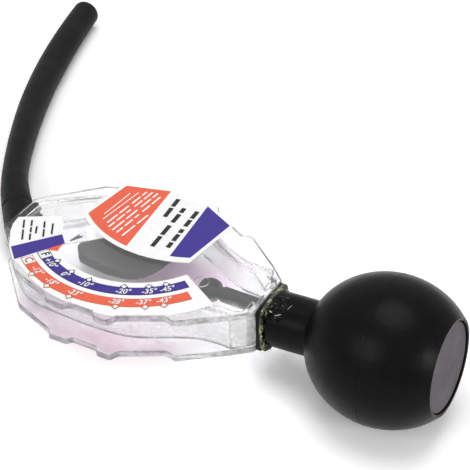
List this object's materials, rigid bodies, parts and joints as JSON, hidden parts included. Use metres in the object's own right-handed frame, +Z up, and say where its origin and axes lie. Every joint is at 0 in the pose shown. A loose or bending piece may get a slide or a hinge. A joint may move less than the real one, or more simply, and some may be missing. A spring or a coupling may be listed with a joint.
{
  "type": "antifreeze tester",
  "caption": "Dial antifreeze and coolant tester with a flat clear chamber, swinging float and pointer, black rubber bulb and rubber hose.",
  "frame": {"origin": "On the surface the tester lies on, under the middle of the tester's box without its hose.", "axes": "+X from the hose end to the bulb end, +Y across the plates to the title side, +Z up; the scale face looks up, tipped with the bulb end raised."},
  "size_m": [0.2503, 0.1861, 0.0526],
  "materials": {
    "clear_plastic": "clear, polished",
    "black_rubber": "satin black",
    "dull_rubber": "matt grey",
    "float_plastic": "matt dark grey",
    "tip_plastic": "matt near black",
    "pin_steel": "plain steel",
    "weight_brass": "plain brass",
    "label_film": "printed film in white, blue and orange",
    "set_glue": "clear yellow, glossy"
  },
  "bodies": {
    "tester_body": {"front_shell": "clear_plastic", "back_shell": "clear_plastic", "pivot_pin": "pin_steel", "inlet_nozzle": "black_rubber", "hose": "black_rubber", "bulb_plug": "black_rubber", "bulb": "black_rubber", "bulb_end_disc": "dull_rubber", "glue_bead": "set_glue", "scale_label": "label_film", "title_label": "label_film"},
    "float_assembly": {"float": "float_plastic", "float_weight": "weight_brass", "pointer_arm": "clear_plastic", "pointer_tip": "tip_plastic"}
  },
  "joints": [
    {"name": "float_swing", "type": "hinge", "parent": "tester_body", "child": "float_assembly", "pos_m": [-0.03141, 0.0132, 0.00931], "axis": [-0.0983, 0, 0.9952], "range_deg": [0, 100]}
  ]
}
